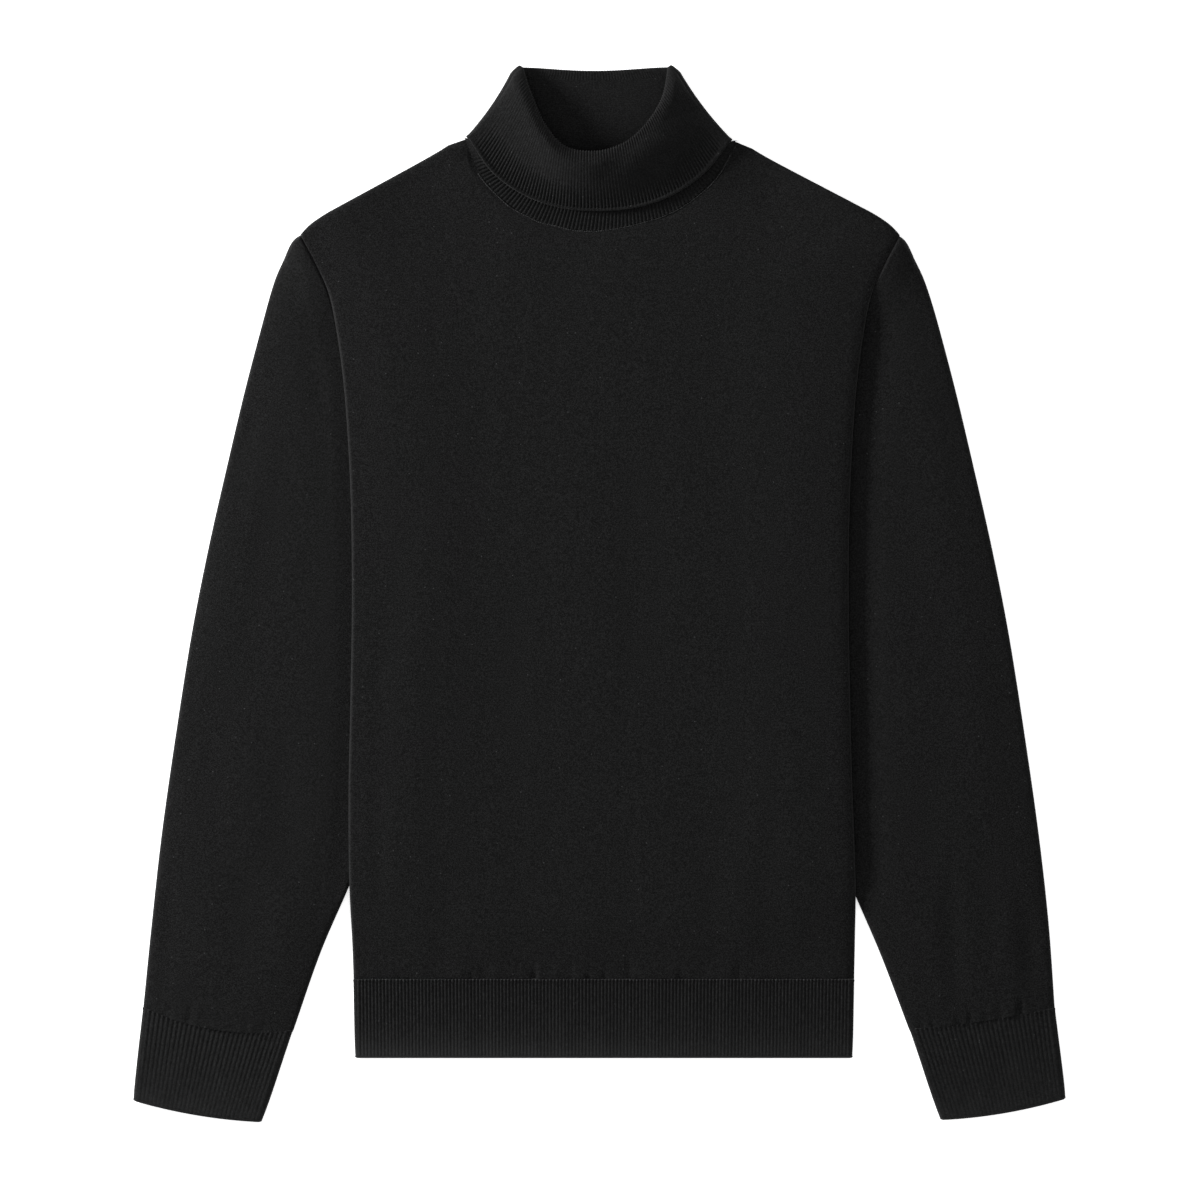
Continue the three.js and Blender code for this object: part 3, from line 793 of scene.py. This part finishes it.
def tubeRing(sections, height, depth, topSteps, sideSteps):  # a flattened tube, that far inside its face
    start, end, bow = sections[:, 0:2], sections[:, 2:4], sections[:, 4]
    width = norm(end - start, axis=1)
    along = (end - start) / width[:, None]
    across = np.stack([along[:, 1], -along[:, 0]], 1)
    half = height / 2
    turn = half - depth
    straight = np.linspace(0, 1, topSteps, endpoint=False)[None]
    angles = (math.pi / 2 - math.pi * np.linspace(0, 1, sideSteps, endpoint=False))[None]
    width = width[:, None]
    span = width - height
    ones = np.ones((len(sections), 1))
    distance = join([
        half + span * straight,
        width - half + turn * np.cos(angles) * ones,
        width - half - span * straight,
        half - turn * np.cos(angles) * ones,
    ], 1)
    z = join([
        (height - depth) + 0 * span * straight,
        (half + turn * np.sin(angles)) * ones,
        depth + 0 * span * straight,
        (half - turn * np.sin(angles)) * ones,
    ], 1)
    bend = bow[:, None] * 4 * (distance / width) * (1 - distance / width)
    plan = start[:, None] + along[:, None] * distance[..., None] + across[:, None] * bend[..., None]
    return join([plan, z[..., None]], 2), distance


def sleeveSections(name):
    rows = [(i, *row) for i, row in enumerate(sleeve["sections"])]
    rows.append((len(rows), *sleeve["cuffTop"][name]))
    at = np.linspace(0, len(rows) - 1, sleeve["rows"])
    return np.stack([readTable(rows, k, at) for k in range(1, 6)], 1)


def buildSleeve(name, side):
    sections = sleeveSections(name)
    steps = sleeve["topSteps"], sleeve["sideSteps"]
    outer, distance = tubeRing(sections, layers["sleeve"], 0, *steps)
    inner, _ = tubeRing(sections, layers["sleeve"], layers["jerseyWall"], *steps)
    for face in (outer, inner):
        headIn = sleeve["headIn"][name] * ease(face[..., 1], *sleeve["headInFrom"])
        face[..., 0] = side * (face[..., 0] - headIn)
    x, y = outer[..., 0], outer[..., 1]
    onTop = np.zeros(outer.shape[1], bool)
    onTop[:sleeve["topSteps"] + sleeve["sideSteps"]] = True
    onTop[-sleeve["sideSteps"]:] = True
    width = norm(sections[:, 2:4] - sections[:, 0:2], axis=1)[:, None]
    fromSide = np.minimum(distance, width - distance)
    soft = sleeve["edgeDrop"] * np.exp(-np.maximum(fromSide, 0) / sleeve["edgeSoftness"])
    beside = np.abs(x) - bodyHalfWidth(y)
    clear = ease(beside, *sleeve["clearOfBody"]) + (y < body["fork"] - sleeve["clearBelow"])
    clear = np.clip(clear, 0, 1)
    inHead = ease(y, *sleeve["headFrom"])
    head = sleeve["headLift"] * inHead * ease(beside, *sleeve["headSide"])
    head = head * np.exp(-(np.maximum(beside, 0) / sleeve["headReach"]) ** 2)
    pressed = sleeve["pressed"][name] * ease(y - body["fork"], *sleeve["pressedFork"]) * (1 - inHead)
    head = head - pressed * np.exp(-(np.maximum(beside, 0) / sleeve["pressedReach"]) ** 2)
    cuffX0, cuffY0, cuffX1, cuffY1, _ = sleeve["cuffTop"][name]
    gathers = puckerRow(
        21 + side, side * cuffX0, cuffY0 - 2, side * cuffX1, cuffY1 - 2,
        sleeve["gathers"], (-sleeve["gatherLean"] * side, 1))
    upper = foldHeight(sleeve["folds"][name] + gathers, x, y)
    upper = addSwells(upper, sleeve["swells"], x, y, side)
    upper = upper * ease(fromSide, 1, 12) * clear
    shiftX, shiftY = sleeve["underShift"]
    under = foldHeight(sleeve["folds"][name], x + shiftX, y + shiftY)
    under = sleeve["underShare"] * under * ease(fromSide, 2, 16)
    z = outer[..., 2]
    crown = sleeve["crown"] * ease(fromSide, 0, sleeve["crownReach"]) * clear
    share = np.clip(z / layers["sleeve"], 0, 1)
    upper = upper + (crown + head - soft * clear) * share
    change = np.where(onTop[None], upper, np.clip(-under, 0, sleeve["underMost"]))
    outer[..., 2] = np.maximum(z + change, 0)
    inner[..., 2] = np.maximum(inner[..., 2] + change, sleeve["innerFloor"])
    ring = join([outer, inner[::-1]])
    length = join([[0], np.cumsum(norm(np.diff(sections[:, :2], axis=0), axis=1))])
    places = join([length, length[::-1], [0]]) / front["courseHeight"]
    around = join([np.zeros((len(ring), 1)), np.cumsum(norm(
        np.diff(join([ring, ring[:, :1]], 1)[..., :2], axis=1), axis=2), axis=1)], 1)
    around = join([around, around[:1]]) / front["waleWidth"]
    stitches = pairUp(around, places[:, None])
    return makeShell(f"{name}_sleeve_jersey", ring, stitches, True, jerseyWool)


sleevePieces = {name: buildSleeve(name, side) for name, side in (("right", -1), ("left", 1))}
print("sleeves", [len(p.data.polygons) for p in sleevePieces.values()])


def ribTube(name, sections, height, settings, side, seed):
    points = ribCloth["ribPoints"]
    topSteps, sideSteps = settings["ribs"] * points, points
    wall = layers["ribWall"]
    outer, distance = tubeRing(sections, height, 0, topSteps, sideSteps)
    inner, _ = tubeRing(sections[[0, -1]], height, wall, topSteps, sideSteps)
    for face in (outer, inner):
        face[..., 0] *= side
    smooth = join([outer, inner[::-1]])
    normals = surfaceNormals(smooth)
    centre = smooth[:len(outer)].mean((0, 1))
    if ((smooth[:len(outer)] - centre) * normals[:len(outer)]).sum() < 0:
        normals = -normals
    phase = np.arange(outer.shape[1]) / points
    run = norm(sections[:, :2] - sections[0, :2], axis=1)
    length = run[-1]
    downward = ease(run, 0, length)[:, None]  # the ribs wear flat towards the end
    crest = ribShape(phase + 0.5)[None] * settings["ribDepth"] * blend(*ribCloth["wear"], downward)
    fromTop, fromEnd = run[:, None], length - run[:, None]
    knobAt, knobWidth = ribCloth["knobAt"]
    knob = ribCloth["knob"] * np.exp(-((fromTop - knobAt) / knobWidth) ** 2)
    knob = knob * (0.5 + 0.5 * np.cos(tau * (phase + 0.5)))[None] ** 2
    lip = -ribCloth["endDrop"] * np.exp(-fromEnd / ribCloth["endReach"])
    for (depth, reach), away in ((ribCloth["lip"], fromEnd), (ribCloth["topLip"], fromTop)):
        lip = lip - depth * np.clip(1 - away / reach, 0, 1) ** 2
    uneven = ribCloth["swell"] * ripple(outer[..., 0], outer[..., 1] * 0.4, 26, seed)
    amount = crest * ease(fromTop, -1, 1.2) * ease(fromEnd, 0, 3) + knob + lip + uneven
    onTop = ease(outer[..., 2], height * 0.2, height * 0.7)
    raised = outer + normals[:len(outer)] * (amount * blend(ribCloth["underside"], 1, onTop))[..., None]
    raised[..., 2] = np.maximum(raised[..., 2], 0)
    ring = join([raised, inner[::-1]])
    rows = join([run, [length, 0], [0]]) / front["courseHeight"]
    across = np.arange(outer.shape[1] + 1) / points * 2
    stitches = pairUp(across[None], rows[:, None])
    # painted shade in the grooves, stronger at the top than at the end
    show = np.broadcast_to(blend(*settings["grooveShadeShow"], downward), outer.shape[:2])
    sideways = (outer[..., 0] - outer[..., 0].min()) / np.ptp(outer[..., 0])
    # painted highlight along the end, lighter on image left, towards the key light
    paintedHighlight = blend(*settings["paintedHighlightSide"], sideways) * np.exp(-np.maximum(fromEnd, 0) / ribCloth["paintedHighlightReach"])
    shades = {"grooveShadeMask": show, "paintedHighlight": paintedHighlight}
    shades = {key: join([at, at[-1:], at[:1]]) for key, at in shades.items()}
    return makeShell(name, ring, stitches, True, ribWoolLit, shades)


def cuffSections(name):
    top, bottom = np.array(sleeve["cuffTop"][name], float), np.array(cuff["bottom"][name], float)
    top[[1, 3]] += ribCloth["overlap"]
    return blend(top[None], bottom[None], endSteps(cuff)[:, None])


def endSteps(settings):  # even steps with extra ones near both ends
    length = settings["length"]
    first, last = ribCloth["firstSteps"], length - np.array(ribCloth["lastSteps"])
    middle = np.linspace(3, length - 2.4, ribCloth["rows"] - len(first) - len(last))
    return join([first, middle, last]) / length


cuffPieces = {
    name: ribTube(f"{name}_cuff_rib", cuffSections(name), layers["cuff"], cuff, side, 50 + side)
    for name, side in (("right", -1), ("left", 1))
}


def hemSections():
    y = blend(body["hemTop"] + ribCloth["overlap"], body["hemBottom"], endSteps(hem))
    half, lean = bodyHalfWidth(y), bodyLean(y)
    return np.stack([lean - half, y, lean + half, y, 0 * y], 1)


hemPiece = ribTube("hem_rib", hemSections(), layers["hem"], hem, 1, 60)
print("ribs", len(hemPiece.data.polygons), [len(p.data.polygons) for p in cuffPieces.values()])


def collarStations():
    # level (0 edge, 1 fold, -1 seam), depth, setback in folds' reaches, air, ribs, swell
    wall = layers["ribWall"]
    standOut = wall + collar["nest"]
    standIn = standOut + wall
    rows = []
    for level, swell in ((0.004, 0.45), (0.012, 0.62), (0.022, 0.62), (0.032, 0.4), (0.045, 0.1)):
        rows.append((level, 0, level, 0, 0.1, swell))
    for level in np.linspace(0.065, 0.97, 22):
        rows.append((level, 0, level, 0, blend(1.0, collar["fadedRibs"], ease(level, 0.12, 0.55)), 0))
    for angle in np.linspace(0, math.pi, 13):
        turn = (1 - math.cos(angle)) / 2
        ribs = blend(collar["fadedRibs"], collar["foldRibs"], min(angle, 1))
        turn = turn ** collar["foldBevel"]
        rows.append((1, standIn * turn, 1 - math.sin(angle), collar["foldAir"] * turn, ribs, 0))
    for level in np.linspace(0.88, 0, 12):
        rows.append((level, standIn, 0, collar["foldAir"] * level, collar["innerRibs"], 0))
    rows.append((-1, standIn, 0, 0, 0, 0))
    rows.append((-1, standOut, 0, 0, 0.6, 0))
    for part in np.linspace(0, 1, 6)[1:]:
        rows.append((-1 + part, standOut, 0, 0, collar["standRibs"], 0))
    rows.append((0.12, standOut, 0, 0.6, 0.7, 0))
    rows.append((0.5, standOut, 0, 2, 0, 0))
    rows.append((1, standOut, 1.1, 4, 0, 0))
    rows.append((1, wall, 0.9, 0.4, 0, 0))
    rows.append((0.5, wall, 0, 0, 0, 0))
    rows.append((0.06, wall, 0, 0, 0, 0))
    rows.append((0, wall * 0.86, 0, 0, 0, 0))
    rows.append((0, wall * 0.5, -0.07, 0, 0, 0))
    rows.append((0, wall * 0.14, 0, 0, 0, 0.2))
    return rows


def buildCollar():
    points = ribCloth["ribPoints"]
    frontT = np.linspace(0, 1, collar["frontRibs"] * points + 1)
    backT = np.linspace(1, 0, collar["backRibs"] * points + 1)
    sideAngles = math.pi / 2 - math.pi * np.linspace(0, 1, points + 1)[1:-1]
    standOut = layers["ribWall"] + collar["nest"]
    outward = {}
    for name, t, turn in (("right", 0.0, -1), ("left", 1.0, 1)):
        up = collarAt("fold", t) - collarAt("edge", t)
        up = up / norm(up)
        outward[name] = np.array([turn * up[1], -turn * up[0]])
    rings, ribRows, swells = [], [], []
    for level, depth, setback, air, ribs, swell in collarStations():
        seamPart = np.clip(-level, 0, 1)  # 1 on the seam, 0 from the flap's edge up
        up = max(level, 0)
        waist = collar["waist"] * 4 * up * (1 - up) if level >= 0 else 0
        inset = blend(collar["bulge"] + waist + depth, collar["bulge"] + depth - standOut, seamPart)
        out = {
            "right": blend(outward["right"], np.array([-1.0, 0.0]), seamPart),
            "left": blend(outward["left"], np.array([1.0, 0.0]), seamPart),
        }

        def plan(lineAt, t):
            edge, fold, seam = lineAt("edge", t), lineAt("fold", t), lineAt("seam", t)
            reach = norm(fold - edge, axis=-1, keepdims=True)
            line = edge + (fold - edge) * (up - setback * collar["foldReach"] / reach)
            line = blend(line, seam, seamPart)
            t = t[:, None]
            taper = collar["sideTaper"]
            return line - out["right"] * inset * (1 - t) ** taper - out["left"] * inset * t ** taper

        flat = plan(collarAt, frontT)
        rise = np.sin(math.pi * frontT) ** collar["arch"]
        middle = blend(collar["edgeHeight"], collar["foldHeight"], ease(up ** collar["hollow"], 0, 1))
        height = blend(collar["sideHeight"], middle, rise) - depth - air * rise ** collar["airArch"]
        onBody = frontTop(body["edgeBand"], *flat.T) + collar["clear"] - (depth - standOut)
        height = blend(height, onBody, seamPart)
        if level > 0 and depth < layers["ribWall"]:
            dent = foldHeight(collar["hollows"], *flat.T)
            height = height + dent * ease(up, 0.1, 0.35) * (1 - depth / layers["ribWall"])
        front3 = join([flat, height[:, None]], 1)
        backAt = backT
        if level >= 0 and depth > standOut + 0.1:  # the ribs inside run straight down the back
            foldX, edgeX = collarAt("fold", 0.0)[0], collarAt("edge", 0.0)[0]
            narrow = abs(foldX) / abs(blend(edgeX, foldX, up))
            off = 2 * backT - 1
            backAt = 0.5 + off / 2 * blend(narrow, 1, np.abs(off) ** 5)
        flatBack = plan(collarBackAt, backAt)
        backDepth = blend(depth, depth - standOut, seamPart)
        back3 = join([flatBack, np.full((len(backT), 1), backDepth)], 1)

        def roundSide(upper, lower, direction, angles):
            middle3 = (upper + lower) / 2
            outs = direction[None] * collar["bulge"] * np.cos(angles)[:, None]
            ups = (upper[2] - lower[2]) / 2 * np.sin(angles)
            return join([middle3[None, :2] + outs, (middle3[2] + ups)[:, None]], 1)

        farSide = roundSide(front3[-1], back3[0], out["left"], sideAngles)
        nearSide = roundSide(front3[0], back3[-1], out["right"], sideAngles[::-1])
        rings.append(join([front3, farSide, back3, nearSide]))
        ribRows.append(ribs)
        swells.append(swell)
    smooth = np.stack(rings)
    normals = surfaceNormals(smooth)
    if normals[6, len(frontT) // 2, 2] < 0:
        normals = -normals
    columns = smooth.shape[1]
    phase = np.arange(columns) / points
    around = join([frontT, np.ones(len(sideAngles)), backT, np.zeros(len(sideAngles))])
    onSide = np.exp(-(np.minimum(around, 1 - around) / collar["sideShare"]) ** 2)
    onBack = np.arange(columns) >= len(frontT) + len(sideAngles)
    show = blend(1, collar["sideRibs"], onSide) * blend(1, collar["backRibShow"], onBack)
    crest = ribShape(phase + 0.5) * show
    amount = np.array(ribRows)[:, None] * crest[None] * collar["ribDepth"]
    amount = amount + np.array(swells)[:, None] * blend(0.5, 1, show)[None]
    raised = smooth + normals * amount[..., None]
    raised[..., 2] = np.maximum(raised[..., 2], 0)
    midFront = join([smooth, smooth[:1]])[:, len(frontT) // 2]
    rows = norm(np.diff(midFront, axis=0), axis=1)
    places = join([[0], np.cumsum(rows)]) / front["courseHeight"]
    across = np.arange(columns + 1) / points * 2
    stitches = pairUp(across[None], places[:, None])
    # painted shade in the grooves, as strong as the ribs stand out; the collar gets no painted highlight
    grooveShadeMask = np.array(ribRows)[:, None] * show[None]
    shades = {"grooveShadeMask": grooveShadeMask, "paintedHighlight": 0 * grooveShadeMask}
    return makeShell("collar_rib", raised, stitches, True, collarWoolShaded, shades)


collarPiece = buildCollar()
print("collar", len(collarPiece.data.polygons))

linking = {
    "neckSpacing": 1.75,
    "neckFrom": 30,  # they sink into the groove before that
    "neckSize": (1.0, 0.42, 0.42),
    "neckWander": 0.35,
    "neckJitter": 0.1,
    "neckOut": 0.5,
    "neckSink": 0.35,
    "neckEndSink": 0.8,
    "neckSizes": (0.8, 1.2),
    "hemSize": (0.75, 0.5, 0.4),
    "hemJitter": (0.12, 0.08),
    "hemUp": 0.1,
    "hemSink": 0.05,
    "hemSizes": (0.6, 1.25),
}


def neckStitches():
    t = np.linspace(0.0, 1.0, 2000)
    line = collarAt("seam", t)
    run = join([[0], np.cumsum(norm(np.diff(line, axis=0), axis=1))])
    at = np.interp(np.arange(linking["neckFrom"], run[-1] - 3, linking["neckSpacing"]), run, t)
    line = collarAt("seam", at)
    out = neckOutward(line)
    dice = np.random.default_rng(71)
    wander = linking["neckWander"] * ripple(at * 240, 0 * at, 21, 72)
    wander = wander + dice.normal(0, linking["neckJitter"], len(at))
    line = line + out * (linking["neckOut"] + wander)[:, None]
    z = frontTop(body["edgeBand"], line[:, 0], line[:, 1]) - linking["neckSink"]
    z = z - linking["neckEndSink"] * (1 - ease(np.minimum(at, 1 - at), 0, 0.12))
    along = np.gradient(line, axis=0)
    along = join([along, np.zeros((len(at), 1))], 1)
    along /= norm(along, axis=1, keepdims=True)
    centres = join([line, z[:, None]], 1)
    return makeStitches("neck_linking", centres, along, linking["neckSize"], linking["neckSizes"], dice)


def hemStitches():
    sections = hemSections()
    half = layers["hem"] / 2
    left, right = sections[0, 0] + half, sections[0, 2] - half
    x = blend(left, right, (np.arange(hem["ribs"]) + 0.5) / hem["ribs"])
    dice = np.random.default_rng(81)
    jitterY, jitterZ = linking["hemJitter"]
    y = body["hemTop"] + linking["hemUp"] + dice.normal(0, jitterY, len(x))
    z = layers["hem"] - linking["hemSink"] + dice.normal(0, jitterZ, len(x))
    along = np.tile([0.0, 1.0, 0.0], (len(x), 1))
    centres = np.stack([x, y, z], 1)
    return makeStitches("hem_linking", centres, along, linking["hemSize"], linking["hemSizes"], dice)


neckLine, hemLine = neckStitches(), hemStitches()
for piece in (neckLine, hemLine):
    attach(piece, "root")
print("linking stitches")

pieces = {  # slot, then the cut: width (all round on a tube), length, area, what is below, what is on it
    "front": (frontPiece, "jersey", 0.446, 0.628, 0.238, ["back"], []),
    "back": (backPiece, "jersey", 0.446, 0.638, 0.240, ["right_sleeve", "left_sleeve"], []),
    "right_sleeve": (sleevePieces["right"], "jersey", 0.392, 0.660, 0.172, [], []),
    "left_sleeve": (sleevePieces["left"], "jersey", 0.392, 0.660, 0.172, [], []),
    "right_cuff": (cuffPieces["right"], "rib", 0.230, 0.068, 0.0148, [], []),
    "left_cuff": (cuffPieces["left"], "rib", 0.230, 0.068, 0.0148, [], []),
    "hem": (hemPiece, "rib", 0.752, 0.058, 0.0436, [], [hemLine]),
    "collar": (collarPiece, "rib", 0.520, 0.140, 0.062, ["front", "back"], [neckLine]),
}
for node, (piece, slot, *_) in pieces.items():
    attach(piece, "root")
    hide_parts(node)

studio = {
    "floorSize": 40.0,
    "floorGap": 0.0002,
    "floorColour": (0.93, 0.93, 0.93, 1),
    "floorRoughness": 0.9,
    "floorGloss": 0.1,
    "floorGlow": 0.6,
    "sky": 0.78,
    "keyFrom": (-2.0, 0.68, 0.49),
    "keySize": 0.4,
    "keyPower": 112.0,
    "sensor": 36,
    "cameraHeight": 12.0,
    "pictureWidth": 0.894,
    "pictureCentre": (-0.00015, -0.0048),
}


def addStudio():
    mesh = bpy.data.meshes.new("floor")
    half = studio["floorSize"] / 2
    corners = [(-half, -half, 0), (half, -half, 0), (half, half, 0), (-half, half, 0)]
    mesh.from_pydata(corners, [], [(0, 1, 2, 3)])
    material = bpy.data.materials.new("pale_floor")
    material.use_nodes = True
    shader = material.node_tree.nodes["Principled BSDF"]
    shader.inputs["Base Color"].default_value = studio["floorColour"]
    shader.inputs["Roughness"].default_value = studio["floorRoughness"]
    shader.inputs["Specular IOR Level"].default_value = studio["floorGloss"]
    shader.inputs["Emission Color"].default_value = (1, 1, 1, 1)
    shader.inputs["Emission Strength"].default_value = studio["floorGlow"]
    floor = addPiece("floor", mesh, material)
    floor.location.z = -studio["floorGap"]
    world = bpy.data.worlds.new("studio")
    world.use_nodes = True
    sky = world.node_tree.nodes["Background"].inputs
    sky["Color"].default_value = (1, 1, 1, 1)
    sky["Strength"].default_value = studio["sky"]
    bpy.context.scene.world = world
    light = bpy.data.lights.new("key", "AREA")
    light.shape = "SQUARE"
    light.size = studio["keySize"]
    light.energy = studio["keyPower"]
    key = bpy.data.objects.new("key", light)
    key.location = studio["keyFrom"]
    key.rotation_mode = "QUATERNION"
    key.rotation_quaternion = key.location.to_track_quat("Z", "Y")
    key.visible_camera = False
    bpy.context.scene.collection.objects.link(key)
    camera = bpy.data.objects.new("camera", bpy.data.cameras.new("camera"))
    camera.data.sensor_width = studio["sensor"]
    camera.data.lens = studio["sensor"] * studio["cameraHeight"] / studio["pictureWidth"]
    camera.location = (*studio["pictureCentre"], studio["cameraHeight"])
    camera.data.clip_end = 100
    bpy.context.scene.collection.objects.link(camera)
    bpy.context.scene.camera = camera
    bpy.context.scene.view_settings.view_transform = "Standard"


addStudio()
print("studio ready")
